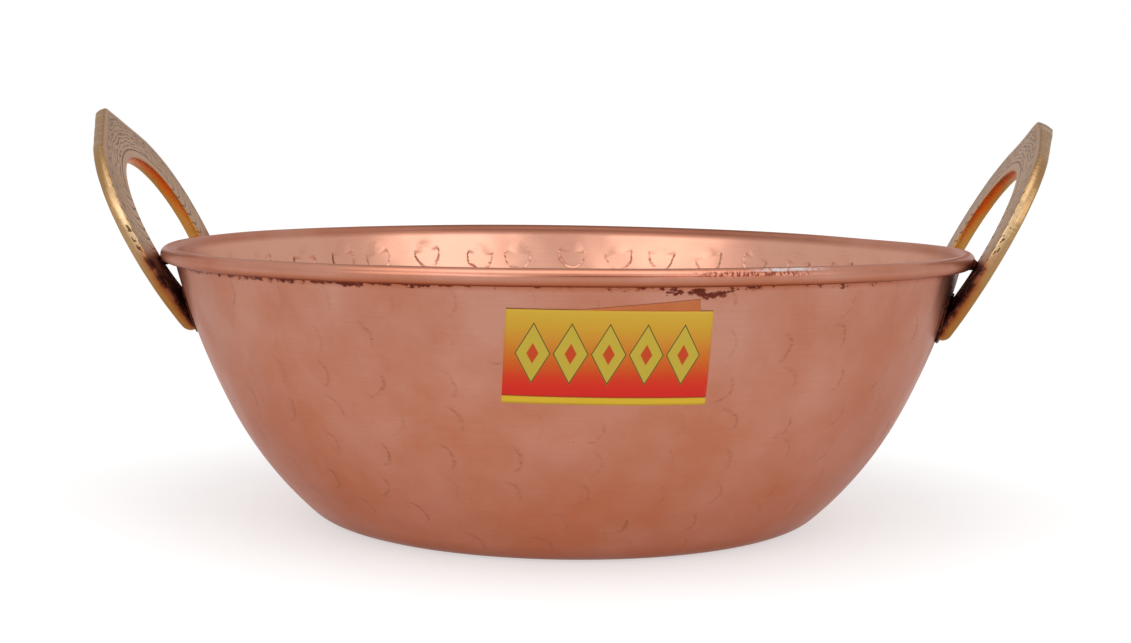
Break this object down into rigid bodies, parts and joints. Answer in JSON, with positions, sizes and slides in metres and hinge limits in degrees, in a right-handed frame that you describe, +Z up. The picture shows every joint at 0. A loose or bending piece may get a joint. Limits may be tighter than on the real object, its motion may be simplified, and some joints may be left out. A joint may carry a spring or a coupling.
{
  "type": "kadai",
  "caption": "Round-bellied cooking bowl with a flat base, a wired rolled rim and outward-leaning flat ring handles on opposite sides, for frying and serving.",
  "frame": {"origin": "on the bowl's axis at the underside of the flat base", "axes": "+Z up along the bowl's axis, +X towards the right handle, +Y towards the back, so the label faces -Y"},
  "size_m": [0.2867, 0.2398, 0.1198],
  "materials": {
    "copper": null,
    "wire": "plain drawn iron wire, closed in by the rolled edge",
    "handle_brass": "cast brass, engraved matte faces, filed and buffed edges",
    "brazing_alloy": "brazing brass darkened by heat and flux",
    "label_paper": "coated paper printed yellow to red",
    "old_label_paper": "coated paper printed orange"
  },
  "bodies": {
    "root": {"bowl": "copper", "rim_wire": "wire", "left_handle": "handle_brass", "right_handle": "handle_brass", "left_rim_braze_front": "brazing_alloy", "left_rim_braze_rear": "brazing_alloy", "left_foot_braze_front": "brazing_alloy", "left_foot_braze_rear": "brazing_alloy", "right_rim_braze_front": "brazing_alloy", "right_rim_braze_rear": "brazing_alloy", "right_foot_braze_front": "brazing_alloy", "right_foot_braze_rear": "brazing_alloy", "label": "label_paper", "under_label": "old_label_paper"}
  },
  "joints": []
}
